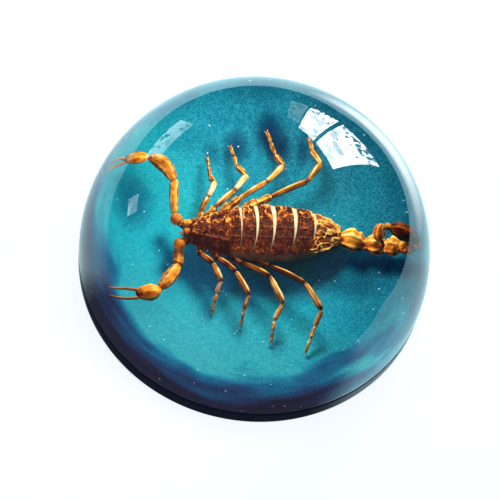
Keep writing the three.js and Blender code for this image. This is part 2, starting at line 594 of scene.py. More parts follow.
# %% One tube
def tube(path, width, height, up=(0, 0, 1), sides=24, steps=30, blunt=12, keels=0.0, keel_count=4, turn=0.0,
         knobs=0.0, contrast=1.0, cell=6):
    """Rings and tones of a tube. t runs from 0 to 1 along the path, closer together at the ends. A ring is
    the path's point plus width/2 times cos(angle) sideways plus height/2 times sin(angle) upwards, both
    times the rounding (1 - |2t - 1|^blunt)^(1/2). Keels add keels times |cos(keel_count/2 times angle)|^12,
    sharp ridges along it. Knobs swell it by random lumps of cell grid points. The tone is 0.36, darker at
    both ends, with painted light and shade: higher where the surface faces up and towards +Y, where the
    light comes from, and lower underneath. Times contrast it is also brighter on the keels and on the lumps,
    partly their own colour and partly a painted highlight."""
    path = np.asarray(path, float)
    lengths = np.concatenate([[0], np.cumsum(np.linalg.norm(np.diff(path, axis=0), axis=1))])
    t = 0.5 - 0.5 * np.cos(np.pi * np.linspace(0.02, 0.98, steps))
    t = (t - t[0]) / (t[-1] - t[0]) * 0.998 + 0.001
    spine = through(lengths / lengths[-1], path, t)
    along = unit(np.gradient(spine, axis=0))
    side = unit(np.cross(along, np.asarray(up, float)))
    above = np.cross(side, along)
    rounding = (1 - np.abs(2 * t - 1) ** blunt) ** 0.5
    w = through(*zip(*width), t) * rounding / 2
    h = through(*zip(*height), t) * rounding / 2
    angle = np.linspace(0, 2 * np.pi, sides, endpoint=False)
    ridge = np.abs(np.cos(keel_count / 2 * (angle - turn))) ** 12
    patches = lumps(steps, sides, cell, True)
    scale = 1 + keels * ridge[None, :] * np.clip(4 * t * (1 - t), 0, 1)[:, None] + knobs * (patches - 0.5)
    spokes = (
        (w[:, None] * np.cos(angle) * scale)[..., None] * side[:, None]
        + (h[:, None] * np.sin(angle) * scale)[..., None] * above[:, None]
    )
    # Painted light and shade: the tone is higher where the surface faces up and towards +Y, where the light
    # comes from. The brighter keels and lumps are partly a painted highlight.
    back = unit(spokes) @ np.array((0, 0.42, 0.90))
    relief = 0.30 * (ridge[None, :] - 0.3) * (keels > 0) + 0.36 * (patches - 0.5)
    tone = 0.36 + 0.26 * back + contrast * relief
    return spine[:, None] + spokes, tone - 0.45 * np.abs(2 * t - 1)[:, None] ** 14


def even(thickness):
    """A profile that swells a little: the full thickness past the middle, and less at both ends."""
    shares = ((0, 0.74), (0.3, 0.88), (0.7, 1.0), (0.9, 0.98), (1, 0.9))
    return [(t, share * thickness) for t, share in shares]


def spindle(thickness):
    """A profile that is slim at both ends and full a little past the middle."""
    shares = ((0, 0.64), (0.25, 0.9), (0.55, 1.06), (0.85, 0.86), (1, 0.68))
    return [(t, share * thickness) for t, share in shares]


# %% [markdown]
# ## The three castings
#
# The maker pours them one on another in a round mould, so they are turned shapes: a profile of radius and
# height is swept once round the axis. The dome's profile is a quarter circle of many steps, because any
# facet on a lens shows in all that is seen through it. Its flat underside is sunk a hair into the glitter
# layer: with no gap between them there is no false film of air, and the layer is seen straight through the
# resin.

# %% Turning a profile
def turned(name, profile, material, node, sides=256):
    """A closed skin round the Z axis: ring i has the radius and the height of profile point i."""
    profile = np.asarray(profile, float)
    angle = np.linspace(0, 2 * np.pi, sides, endpoint=False)
    radius, height = profile[:, :1], profile[:, 1:]
    rings = np.stack(np.broadcast_arrays(radius * np.cos(angle), radius * np.sin(angle), height), -1)
    points, faces = skin_of(rings)
    made = mesh_object(name, points, faces, material)
    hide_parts(node)
    return made


def arc(middle_radius, middle_height, radius, degrees):
    """Profile points on an arc: the middle plus radius times (cos, sin) of each angle."""
    angle = np.radians(degrees)
    return list(zip(middle_radius + radius * np.cos(angle), middle_height + radius * np.sin(angle)))


SINK = 0.02
INNER = DOME_RADIUS - 2
quarter = arc(0, LAYER_TOP, DOME_RADIUS, np.linspace(0.0, 89.4, 96))
dome_profile = [(INNER, LAYER_TOP - SINK), (DOME_RADIUS - SINK, LAYER_TOP - SINK), *quarter]
dome = turned("dome", dome_profile, clear_resin, "clear_dome")
layer_profile = [(INNER, LAYER_BASE), (DOME_RADIUS, LAYER_BASE), (DOME_RADIUS, LAYER_TOP), (INNER, LAYER_TOP)]
layer = turned("glitter_disc", layer_profile, glitter, "glitter_layer")
foot = arc(DOME_RADIUS - FOOT_ROUND, FOOT_ROUND, FOOT_ROUND, np.linspace(-90, 0, 9))
backing_profile = [(2, 0), *foot, (DOME_RADIUS, LAYER_BASE), (INNER, LAYER_BASE)]
backing = turned("backing_disc", backing_profile, dark_resin, "backing")
for shape in (layer, backing):
    shape.data.set_sharp_from_angle(angle=math.radians(30))
print("castings replaced:", dome.name, layer.name, backing.name)

# %% [markdown]
# ## The trunk
#
# A scorpion's trunk is a soft bag under hard shields: one carapace over the front, then seven tergites.
# Between two tergites the pale skin of the bag shows as a cream band. The bag is one closed skin with an
# oval section, and each shield is a plate laid on the same oval, a little further out, so that the plates
# can't miss the body.

# %% The oval that the trunk follows
TRUNK_X = (-11.2, -10.2, -8.7, -6.4, -4.0, -2.6, -0.4, 2.5, 5.7, 8.9, 10.9, 12.0, 12.9)
HALF_WIDTH = (1.25, 1.8, 2.25, 3.05, 3.9, 4.2, 4.45, 4.5, 4.2, 3.35, 2.35, 1.5, 0.85)
HALF_HEIGHT = (0.7, 1.05, 1.3, 1.62, 1.9, 2.0, 2.1, 2.15, 2.0, 1.65, 1.3, 1.05, 0.7)
MIDDLE_Y = (0.7, 0.6, 0.35, 0.45, 0.65, 0.72, 0.8, 0.85, 1.1, 1.5, 1.75, 1.85, 1.9)
MIDDLE_Z = (9.0, 9.0, 9.05, 9.15, 9.25, 9.3, 9.35, 9.35, 9.0, 8.3, 7.75, 7.45, 7.2)


def on_trunk(x, angle, lift):
    """Points of the trunk's oval at x (n, 1) or (n, m) and angle (n, m) from straight up, pushed out by
    lift (n, m) mm: y is middle + (half width + lift) sin(angle), z is middle + (half height + lift)
    cos(angle)."""
    x = np.broadcast_to(x, angle.shape)
    w, h, y, z = (np.interp(x, TRUNK_X, v) for v in (HALF_WIDTH, HALF_HEIGHT, MIDDLE_Y, MIDDLE_Z))
    return np.stack([x, y + (w + lift) * np.sin(angle), z + (h + lift) * np.cos(angle)], -1)


# %% The soft bag
BAND_X = (-4.2, -3.7, -2.3, 0.2, 2.8, 6.0, 8.9, 12.6)


def soft_bag():
    """The trunk's closed skin. Its flanks fold in at every joint, by a cosine with one period to each
    tergite."""
    x = np.linspace(TRUNK_X[0], TRUNK_X[-1], 190)
    angle = np.linspace(0, 2 * np.pi, 72, endpoint=False)[None, :] + np.zeros((len(x), 1))
    phase = through(BAND_X, np.arange(len(BAND_X)), x)[:, None]
    flank = np.abs(np.sin(angle)) ** 2 * (x[:, None] > -4) * (x[:, None] < 12)
    folds = 0.22 * flank * (0.5 - 0.5 * np.cos(2 * np.pi * phase)) ** 0.5 - 0.12
    creases = granules(len(x), 72, 3, 0.08)
    near = np.clip(-np.sin(angle), 0, 1) * 0.7
    ends = np.clip((x[:, None] - 11.0) / 0.6, 0, 1) + np.clip((-4.4 - x[:, None]) / 0.6, 0, 1)
    return [(on_trunk(x[:, None], angle, folds + creases - 0.06), np.clip(flank * 0.25 + near + ends, 0, 1))]


skins("trunk_skin", soft_bag(), pale_skin)


# %% The tergites
BAND_SHARE = (0.3, 0.9, 1.25, 1.35, 1.3, 1.0, 0.4)


def tergite(number, front, rear):
    """One shield of the back. Along it s runs 0..1 from front to rear, across it v runs -1..1. It ends a
    gap short of the next one, wider on the +Y side, where the cream skin shows, and it bows forward by half
    the square of v - 0.35. It is lifted by 0.12 mm plus a middle keel and two side keels, each a narrow
    bell in v, plus crests, which are coarse on the +Y half. Its tone is higher on the crests, partly their
    own colour and partly a painted highlight, and painted light makes the +Y half, which faces the light,
    golden and the -Y flank, which lies in shade, lighter. The last shield is all golden lumps."""
    rows, columns = max(int((rear - front) * 17), 14), 120
    s, v = np.linspace(0, 1, rows)[:, None], np.linspace(-1, 1, columns)[None, :]
    last = number == 7
    gap = (0.26 + 0.42 * np.clip((v + 0.4) / 1.2, 0, 1)) * BAND_SHARE[number - 1]
    corner = 1 - 0.10 * np.abs(2 * s - 1) ** 3
    angle = v * np.radians(64) * corner
    x = front - 0.12 + (rear - gap - front + 0.12) * s
    x = x - 0.52 * (v - 0.35) ** 2 * np.clip((x + 4.2) / 4, 0, 1) * np.clip((12.6 - x) / 3, 0, 1)
    keels = 0.15 * np.exp(-((v / 0.035) ** 2)) + 0.11 * np.exp(-(((np.abs(v) - 0.33) / 0.035) ** 2))
    far = 1 / (1 + np.exp(-(v - 0.24) / 0.14))
    coarse = crests(rows, columns, 11 if last else 9)
    fine = granules(rows, columns, 2, 1.0)
    dapple = lumps(rows, columns, 5)
    share = 1.0 if last else 0.08 + 0.92 * far
    edge = np.exp(-(((s - 0.97) / 0.05) ** 2)) * 0.10
    keel_lift = keels * np.sin(np.pi * np.clip(s * 1.05, 0, 1)) ** 0.5
    lift = 0.12 + keel_lift + 0.40 * coarse * share + 0.10 * (fine - 0.4) + edge
    outer, inner = on_trunk(x, angle, lift), on_trunk(x, angle, np.full(lift.shape, -0.12))
    flank = 1 / (1 + np.exp((v + 0.66) / 0.07))
    # Painted light: the +Y half is golden and the -Y flank lighter; the crests are partly a painted
    # highlight.
    tone = 0.26 + 1.05 * share * (coarse - 0.36) + 0.19 * far + 0.38 * (fine - 0.4) + 0.34 * last
    tone = tone + 0.32 * (dapple - 0.5) * (1 - 0.6 * far) + 0.8 * keels + flank * (0.06 + 0.18 * dapple)
    return shield(f"tergite_{number}", outer, inner, dark_cuticle, np.clip(tone, 0, 1))


for number, (front, rear) in enumerate(zip(BAND_X[:-1], BAND_X[1:]), 1):
    tergite(number, front, rear)
print("tergites:", len(BAND_X) - 1)


# %% [markdown]
# ## The carapace and the eyes
#
# The carapace is one shield over the head. It narrows to the front, and it has a low mound with the two
# main eyes and rows of coarse granules that catch the light. It is made like a tergite, with a mound added
# to its lift.

# %% The carapace
def carapace():
    """The head shield. The lift is 0.14 mm, plus a bell-shaped eye mound, plus keels that spread to the
    rear, less two furrows across it, plus crests that are stronger on the +Y side. Its front edge has a
    shallow notch. Its tone is higher on the crests and keels, partly their own colour and partly a painted
    highlight, and painted light makes the +Y side, which faces the light, lighter."""
    rows, columns = 120, 110
    s, v = np.linspace(0, 1, rows)[:, None], np.linspace(-1, 1, columns)[None, :]
    x = np.linspace(-10.7, -4.25, rows)[:, None]
    angle = np.broadcast_to(v * np.radians(88), (rows, columns))
    mound = 0.34 * np.exp(-(((s - 0.38) / 0.10) ** 2) - (v / 0.22) ** 2)
    spread = 0.16 + 0.22 * s
    keels = 0.18 * np.exp(-(((np.abs(v) - spread) / 0.05) ** 2)) * (s > 0.08)
    keels = keels + 0.1 * np.exp(-((v / 0.05) ** 2)) * s
    furrow = -0.12 * np.exp(-(((s - 0.72) / 0.03) ** 2)) - 0.10 * np.exp(-(((s - 0.98) / 0.03) ** 2))
    coarse = crests(rows, columns, 10)
    grain = granules(rows, columns, 2, 1.0)
    far = 1 / (1 + np.exp(-(v + 0.05) / 0.12))
    lift = 0.14 + mound + keels + furrow + 0.4 * coarse * (0.3 + 0.7 * far) + 0.10 * (grain - 0.4)
    notch = 0.35 * np.exp(-((v / 0.35) ** 2)) * np.exp(-s * 12)
    outer, inner = on_trunk(x, angle, lift), on_trunk(x, angle, np.full(lift.shape, -0.12))
    outer[..., 0] += notch
    inner[..., 0] += notch
    # Painted light: the +Y side is lighter; crests and keels are partly a painted highlight.
    tone = 0.27 + 1.05 * (coarse - 0.36) * (0.25 + 0.75 * far)
    tone = tone + 0.14 * far + 0.9 * keels + 0.3 * (grain - 0.4)
    return shield("carapace", outer, inner, dark_cuticle, np.clip(tone, 0, 1))


carapace()


# %% The eyes
def bead(middle, radius, stretch=(1, 1, 1), rings=12, sides=16):
    """A ball: radius times (sin a cos b, sin a sin b, cos a) about its middle, stretched along X, Y and Z."""
    a = np.linspace(0.12, np.pi - 0.12, rings)[:, None]
    b = np.linspace(0, 2 * np.pi, sides, endpoint=False)[None, :]
    ball = np.stack(np.broadcast_arrays(np.sin(a) * np.cos(b), np.sin(a) * np.sin(b), np.cos(a)), -1)
    return ball * radius * np.asarray(stretch, float) + np.asarray(middle, float), 0.0


eyes = [bead((-8.25, 0.35 + side * 0.32, 10.72), 0.22) for side in (-1, 1)]
eyes += [
    bead((-10.3 + 0.3 * k, 0.55 + side * (1.05 + 0.1 * k), 9.62), 0.1)
    for side in (-1, 1)
    for k in range(3)
]
skins("eyes", eyes, eye_black)


# %% [markdown]
# ## The belly
#
# Seen from low down through the resin, the belly has five plates, a small breastbone, and the two pectines,
# comb organs with a row of teeth. The plates are shields on the underside of the same oval.

# %% Belly plates, breastbone and combs
def belly_plate(number, front, rear):
    """A plate under the trunk: the oval between 112 and 248 degrees from straight up, lifted 0.06 mm."""
    rows, columns = 24, 60
    x = np.linspace(front + 0.05, rear - 0.18, rows)[:, None]
    angle = np.radians(np.linspace(112, 248, columns))[None, :] + np.zeros((rows, 1))
    lift = 0.06 + granules(rows, columns, 3, 0.05)
    outer, inner = on_trunk(x, angle, lift), on_trunk(x, angle, lift - 0.15)
    return shield(f"belly_plate_{number}", outer, inner, tan_cuticle)


for number, (front, rear) in enumerate(zip(BAND_X[2:-1], BAND_X[3:]), 3):
    belly_plate(number, front, rear)
skins("breastbone", [bead((-5.4, 0.5, 7.62), 0.8, (1.2, 0.9, 0.4))], tan_cuticle)


def comb(side):
    """One pectine: a flat spine that runs out and back, and a row of 20 small teeth hung along its rear
    edge."""
    spine = [(-3.9, 0.7 + side * 0.5, 7.25), (-2.9, 0.8 + side * 2.0, 7.2), (-1.6, 0.9 + side * 3.3, 7.35)]
    parts = [tube(spine, [(0, 0.5), (1, 0.25)], [(0, 0.3), (1, 0.2)], steps=14, sides=10)]
    for t in np.linspace(0.08, 0.97, 20):
        at = through([0, 0.5, 1], spine, np.array([t]))[0]
        tooth = [at, at + (0.38, -side * 0.18, -0.03), at + (0.72, -side * 0.3, -0.1)]
        parts.append(tube(tooth, [(0, 0.17), (1, 0.15)], [(0, 0.16), (1, 0.1)], steps=6, sides=6))
    return skins(f"comb_{'left' if side < 0 else 'right'}", parts, tan_cuticle)


for side in (-1, 1):
    comb(side)


# %% [markdown]
# ## The legs
#
# Each of the eight legs has a hip and a ring at the trunk, then a long femur that rises to the knee, a
# thick patella, a thin tibia that turns down, and two foot joints that end in a pair of claws on the layer.
# A leg is placed by its joints, and one table gives the thickness and the tone of each part for all legs.

# %% Joints of each leg, from the hip to the foot
LEG_JOINTS = {
    "leg_right_1": [
        (-8.3, 2.4, 8.5), (-8.5, 4.1, 8.6), (-7.3, 6.69, 8.7),
        (-6.23, 9.06, 8.7), (-6.81, 10.32, 7.8), (-6.92, 13.46, 6.8),
    ],
    "leg_right_2": [
        (-7.3, 3.4, 8.5), (-6.5, 4.9, 8.7), (-3.35, 7.84, 9.1),
        (-1.58, 10.16, 9), (-2.89, 11.86, 8.1), (-3.67, 15.29, 6.8),
    ],
    "leg_right_3": [
        (-5.3, 4.4, 8.5), (-2.9, 6.5, 8.7), (1.26, 9.22, 9.4),
        (3.67, 11.94, 9), (2.46, 13.93, 8.1), (1.31, 17.55, 6.8),
    ],
    "leg_right_4": [
        (-2.1, 5.2, 8.5), (1.7, 7.1, 8.7), (7.22, 9.7, 9.4),
        (8.95, 12.69, 9), (7.59, 14.8, 8.1), (7.11, 16.84, 6.8),
    ],
    "leg_left_1": [
        (-8.3, -0.9, 8.3), (-8.7, -2.8, 8.5), (-6.72, -4.41, 8.7),
        (-5.56, -7.45, 8.7), (-6.02, -8.89, 7.4), (-6.6, -11.2, 5.6),
    ],
    "leg_left_2": [
        (-6.5, -1.6, 8.3), (-6, -3.2, 8.5), (-3.26, -5.88, 9.1),
        (-1.24, -9.85, 9), (-1.83, -11.6, 7.5), (-2.1, -13.5, 5.6),
    ],
    "leg_left_3": [
        (-4.2, -2.2, 8.3), (-2.5, -3.8, 8.5), (1.95, -6.48, 9.4),
        (4.22, -11.02, 9), (2.99, -13.37, 7.5), (2.7, -16.3, 5.6),
    ],
    "leg_left_4": [
        (-1.6, -2.5, 8.3), (1.6, -3.95, 8.5), (7.48, -7.36, 9.4),
        (10.43, -11.97, 9), (9.57, -14.14, 7.5), (8.4, -18.2, 5.6),
    ],
}

# %% Parts of a leg
# Each part: its thickness and height, how far its middle is raised, what is added to its tone, and how many
# times the left side's tone is added too. The left legs are darker at the root and paler at the foot.
LEG_PARTS = {
    "hip": (1.5, 1.3, 0.0, -0.08, 1.0),
    "ring": (1.15, 1.2, 0.0, -0.02, 1.0),
    "femur": (0.85, 1.15, 0.22, -0.03, 1.0),
    "patella": (0.95, 1.4, 0.18, 0.06, 1 / 3),
    "tibia": (0.68, 0.84, 0.05, 0.0, -1.5),
    "heel": (0.58, 0.68, 0.05, -0.08, -1.7),
    "toe": (0.48, 0.58, 0.0, -0.12, -1.7),
}
LEFT_TONE = -0.16
PALE_PATELLA = {
    "leg_right_1": 0.4,
    "leg_right_2": 0.3,
    "leg_right_3": 0.08,
    "leg_left_2": 0.08,
    "leg_left_3": 0.1,
}


# %% One leg
def toward(a, b, share):
    """The point that lies that share of the way from a to b."""
    return a + (b - a) * share


def leg(name, joints):
    """Seven tubes from joint to joint. The foot splits its last stretch in half with a slight bend, and the
    two claws are thin hooks that turn out and down from its end."""
    hip, ring, knee, wrist, ankle, tip = (np.asarray(p, float) for p in joints)
    half = (ankle + tip) / 2 + (0, 0, 0.25)
    up = np.cross(unit((knee - ring) * (1, 1, 0)), (0, 0, 1))
    ends = {
        "hip": (hip - (0, 0, 0.2), toward(hip, ring, 0.55)),
        "ring": (toward(hip, ring, 0.5), toward(ring, knee, 0.06)),
        "femur": (toward(ring, knee, 0.03), knee),
        "patella": (knee, wrist),
        "tibia": (wrist, ankle),
        "heel": (ankle, half),
        "toe": (half, tip),
    }
    left = LEFT_TONE if "left" in name else 0.0
    parts = []
    for part, (a, b) in ends.items():
        thick, tall, raised, shift, left_share = LEG_PARTS[part]
        lean = (0, 0, 1) if part in ("hip", "ring") else unit(np.cross(b - a, up))
        path = [a, (a + b) / 2 + (0, 0, raised), b]
        rings, tone = tube(
            path, even(thick), even(tall), up=lean, keels=0.10, keel_count=5, knobs=0.2, contrast=1.5, cell=5
        )
        pale = PALE_PATELLA.get(name, 0) if part == "patella" else 0
        parts.append((rings, np.clip(tone + shift + left_share * left + pale, 0, 1)))
    onward = unit(tip - half)
    aside = unit(np.cross(onward, (0, 0, 1)))
    thin = [(0, 0.16), (1, 0.06)]
    for side in (-1, 1):
        bend = tip + onward * 0.3 + aside * side * 0.25
        point = tip + onward * 0.45 + aside * side * 0.3 - (0, 0, 0.12)
        parts.append(tube([tip - onward * 0.1, bend, point], thin, thin, steps=8, sides=8))
    return skins(name, parts, gold_cuticle)


for name, joints in LEG_JOINTS.items():
    leg(name, joints)
print("legs:", len(LEG_JOINTS))


# %% [markdown]
# ## The claws
#
# The two big arms are the pedipalps. This kind has slender hands: an oval palm with two long thin fingers.
# Each part of an arm is a piece of its own, because each has its own swelling and keels. The arms lie where
# light comes in from all round the dome, so they throw next to no shadow on the layer, and here they throw
# none.

# %% Joints and sizes of both arms
ARMS = {
    "left": dict(
        ball=(-11.79, -1.12, 8.3),
        femur=[(-11.56, -0.49, 6.5), (-11.71, -2.25, 6.9), (-11.76, -4.09, 6.9)],
        patella=[(-11.81, -3.99, 6.9), (-13.44, -6.52, 7.2), (-15.07, -8.53, 6.9)],
        palm=[(-14.88, -8.73, 6.7), (-17.08, -9.4, 6.8), (-19.44, -9.65, 6.4)],
        fixed=[(-18.98, -9.04, 6.6), (-21.16, -9.06, 6.7), (-23.4, -9.24, 6.6), (-25.15, -9.07, 6.4)],
        moving=[(-18.87, -10.33, 6.3), (-21.14, -10.79, 6.3), (-23.57, -10.85, 6.2), (-25.51, -10.63, 6.2)],
        palm_size=(2.65, 2.3),
        femur_size=1.6,
    ),
    "right": dict(
        ball=(-12.14, 3.04, 8.3),
        femur=[(-11.9, 4.55, 6.5), (-12.07, 7.16, 6.9), (-11.76, 10.05, 6.9)],
        patella=[(-11.86, 9.86, 6.9), (-13.37, 12.23, 7.2), (-15.53, 13.62, 6.9)],
        palm=[(-15.44, 13.53, 6.8), (-17.49, 13.48, 6.9), (-19.78, 13.33, 6.5)],
        fixed=[(-19.42, 13.61, 6.6), (-20.85, 13.75, 6.5), (-22.39, 13.33, 6.4), (-23.57, 12.54, 6.2)],
        moving=[(-19.34, 12.97, 6.4), (-20.71, 12.74, 6.3), (-22.16, 12.32, 6.2), (-23.17, 11.64, 6.1)],
        palm_size=(1.8, 1.85),
        femur_size=1.35,
    ),
}


# %% One arm
def rough_tube(path, width, height, sides, blunt):
    """A tube with five keels and strong lumps in its shape and tone."""
    return tube(
        path, width, height, sides=sides, steps=60, blunt=blunt, keels=0.12, keel_count=5,
        knobs=0.24, contrast=1.15, cell=4,
    )


def arm(side_name, ball, femur, patella, palm, fixed, moving, palm_size, femur_size):
    """The ball is a round joint, femur and patella are keeled tubes, the palm is an egg that darkens with the
    square of the way to the fingers, and the fingers are thin horns."""
    label = f"claw_{side_name}_"
    hip = [(-9.3, 0.5 + 0.2 * ball[1], 8.3), (-10.6, 0.1 + 0.55 * ball[1], 8.45), ball]
    skins(label + "hip", [tube(hip, even(1.3), even(1.2), knobs=0.2)], dark_cuticle)
    round_joint, _ = bead(ball, 0.95, (1.0, 1.0, 0.95), 18, 24)
    skins(label + "ball", [(round_joint, 0.42 + 0.3 * (lumps(18, 24, 5, True) - 0.5))], amber_cuticle)
    femur_tube = rough_tube(femur, even(femur_size), even(femur_size * 0.95), 48, 16)
    patella_tube = rough_tube(patella, spindle(1.95), spindle(1.7), 54, 10)
    w, h = palm_size
    egg_w = [(0, 0.5 * w), (0.3, 0.98 * w), (0.6, w), (0.85, 0.8 * w), (1, 0.62 * w)]
    egg_h = [(0, 0.5 * h), (0.35, h), (0.7, 0.9 * h), (1, 0.55 * h)]
    rings, tone = tube(
        palm, egg_w, egg_h, sides=48, steps=50, blunt=5, keels=0.05, keel_count=7, knobs=0.10, cell=4
    )
    toward_fingers = np.linspace(0, 1, len(rings))[:, None] ** 2
    palm_tube = rings, np.clip(tone + 0.14 - 0.34 * toward_fingers, 0, 1)
    horn = [(0, 0.62), (0.2, 0.52), (0.7, 0.4), (1, 0.16)]
    lit_through = [
        skins(label + "femur", [femur_tube], amber_cuticle),
        skins(label + "patella", [patella_tube], amber_cuticle),
        skins(label + "palm", [palm_tube], tail_cuticle),
        skins(label + "fixed_finger", [tube(fixed, horn, horn)], finger_cuticle),
        skins(label + "moving_finger", [tube(moving, horn, horn)], finger_cuticle),
    ]
    for piece in lit_through:
        piece.visible_shadow = False


for side_name, parts in ARMS.items():
    arm(side_name, **parts)
print("arms:", len(ARMS))

# %% [markdown]
# Between the arms are the jaws, two short swollen tubes side by side. Each ends in a pair of small nippers.

# %% The jaws
jaws = []
nipper = [(0, 0.4), (1, 0.12)]
for side in (-1, 1):
    y = 1.05 + side * 0.75
    stem = [(-9.9, y, 9.5), (-10.6, y, 9.55), (-11.3, y - side * 0.05, 9.4)]
    rings, tone = tube(stem, even(1.35), even(1.15), knobs=0.2)
    jaws.append((rings, np.clip(tone - 0.15 + 0.15 * side, 0, 1)))
    for inner in (0, 1):
        root, middle = y + side * (0.25 - 0.5 * inner), y + side * (0.2 - 0.4 * inner)
        path = [(-11.1, root, 9.3), (-11.6, middle, 9.2), (-11.9, y - side * 0.1 * inner, 9.0)]
        jaws.append(tube(path, nipper, nipper, steps=10, sides=10))
skins("jaws", jaws, amber_cuticle)


# %% [markdown]
# ## The tail
#
# The tail is five barrels with keels, which reach out along the layer, turn up, and come back over
# themselves. The fifth is dark. The sting is a golden bulb with a curved brown needle that points down and
# forward.

# %% Tail barrels
TAIL_JOINTS = [
    (12.02, 1.87, 7.2), (15.89, 1.28, 6.9), (19.23, 0.94, 6.9), (21.86, 0.68, 7.4), (25.39, 0.74, 8.7)
]


def barrel(
    number, a, b, thick, tall, up=(0, 0, 1), material=tail_cuticle,
    arch=0.45, knobs=0.30, contrast=1.4, shift=0.09,
):
    """One joint of the tail: a tube that is narrow where it meets the next one, 1.15 times as thick in the
    middle, arched along up, and with six sharp keels. It reaches a little into both neighbours."""
    a, b = np.asarray(a, float), np.asarray(b, float)
    a, b = a - 0.06 * (b - a), b + 0.06 * (b - a)
    path = [a, (a + b) / 2 + np.asarray(up, float) * arch, b]
    wide = [(t, k * thick) for t, k in ((0, 0.78), (0.12, 0.80), (0.6, 1.15), (0.88, 0.92), (1, 0.84))]
    high = [(t, k * tall) for t, k in ((0, 0.70), (0.12, 0.72), (0.5, 1.15), (0.88, 0.86), (1, 0.72))]
    rings, tone = tube(
        path, wide, high, up=up, sides=72, steps=60, blunt=7, keels=0.17, keel_count=6, turn=0.5,
        knobs=knobs, contrast=contrast, cell=5,
    )
    return skins(f"tail_{number}", [(rings, np.clip(tone + shift, 0, 1))], material)


for number, (a, b) in enumerate(zip(TAIL_JOINTS[:-1], TAIL_JOINTS[1:]), 1):
    barrel(number, a, b, 2.6 - 0.1 * number, 2.6 - 0.12 * number)
barrel(
    5, (26.59, 1.16, 9.8), (20.91, 1.7, 12.3), 2.3, 2.1, up=(0.35, 0, 0.94),
    material=dark_cuticle, arch=0.55, knobs=0.1, contrast=0.8, shift=-0.08,
)
turning_point, _ = bead((26.03, 0.88, 9.2), 1.0, rings=16, sides=22)
skins("tail_5_root", [(turning_point, 0.45)], tail_cuticle)
print("tail barrels:", len(TAIL_JOINTS))

# %% The sting
neck = [(21.01, 1.75, 12.35), (20.43, 1.8, 12.5), (19.85, 1.66, 12.5)]
skins("tail_6_neck", [tube(neck, even(1.25), even(1.2), keels=0.1, keel_count=10)], tail_cuticle)
bulb = [(19.94, 1.7, 12.55), (19.12, 1.27, 12.55), (18.93, 0.19, 12.1), (19.17, -0.49, 11.5)]
bulb_w = [(0, 0.9), (0.25, 1.8), (0.6, 2.1), (0.85, 1.5), (1, 0.6)]
bulb_tube = tube(
    bulb, bulb_w, bulb_w, up=(1, 0, 0.3), sides=40, steps=40, blunt=5, keels=0.06, keel_count=6,
    knobs=0.18, contrast=1.6,
)
skins("sting_bulb", [bulb_tube], tail_cuticle)
needle = [(19.12, -0.2, 11.7), (19.61, -0.78, 10.9), (18.97, -1.21, 10.1), (17.51, -1.31, 9.6)]
needle_w = [(0, 0.7), (0.35, 0.45), (0.8, 0.24), (1, 0.06)]
skins("sting_needle", [tube(needle, needle_w, needle_w, steps=34)], needle_cuticle)

# %% [markdown]
# ## Floor, mirrored sheet and walls
#
# A dome shows its surroundings twice: reflected on the outside, and bent into the inside. It stands on a
# white floor that fills the picture. What its rim mirrors is set apart from that floor: a turned sheet
# whose crisp edge shows near the rim, with a dark table beyond it as painted shade, in place of the floor in
# the dome's shadow, and a grey-blue ceiling that lays a thin veil over the dome.

# %% Flat pieces of the stage
def mesh_plane(name, corners, material):
    """One face over four corners in mm, which belongs to the stage."""
    mesh = bpy.data.meshes.new(name)
    mesh.from_pydata([tuple(float(v) * MM for v in c) for c in corners], [], [(0, 1, 2, 3)])
    mesh.materials.append(material)
    made = bpy.data.objects.new(name, mesh)
    bpy.context.scene.collection.objects.link(made)
    return made


def flat_piece(name, centre, turn, width, height, material):
    """A flat square in mm, turned about Z."""
    along_edge = Vector((math.cos(turn), math.sin(turn), 0)) * width / 2
    across = Vector((-math.sin(turn), math.cos(turn), 0)) * width / 2
    middle = Vector((*centre, height))
    signs = ((-1, -1), (1, -1), (1, 1), (-1, 1))
    return mesh_plane(name, [middle + along_edge * i + across * j for i, j in signs], material)


def position(tree, axis_weights, shift_mm=0.0):
    """The weighted sum of the Object coordinates in mm, plus a shift: a plane's signed distance."""
    weighted = vectors(tree, "DOT_PRODUCT", object_place(tree), tuple(w / MM for w in axis_weights))
    return maths(tree, "ADD", weighted, shift_mm)


def glowing(name, color, strength):
    """A finish that only glows. Its colour is a plain one or a socket that is wired later."""
    material, tree, shader = new_finish(name, Roughness=1.0, Specular_IOR_Level=0.0, Base_Color=(0, 0, 0, 1))
    shader.inputs["Emission Color"].default_value = (*color, 1)
    shader.inputs["Emission Strength"].default_value = strength
    return material, tree, shader


def unseen(made, *rays):
    """Hide a piece from some kinds of ray."""
    for ray in rays:
        setattr(made, f"visible_{ray}", False)


# %% [markdown]
# The sheet glows in place of a lit paper. Its glow fades in from the side that the dome's own shadow falls
# on: a depth is the larger of two plane distances, and a ramp turns it into brightness. A soft oval on it
# is brighter, the patch that the window throws on the table and the dome mirrors at its rim by the tail.

# %% Sheet
SHEET_TURN, SHEET_WIDTH, SHEET_CORNER = math.radians(16), 205, Vector((75, 150))
SHEET_TINT = (0.66, 0.98, 1.06)
PATCH_GLOW = (3.3, 3.6, 3.6)

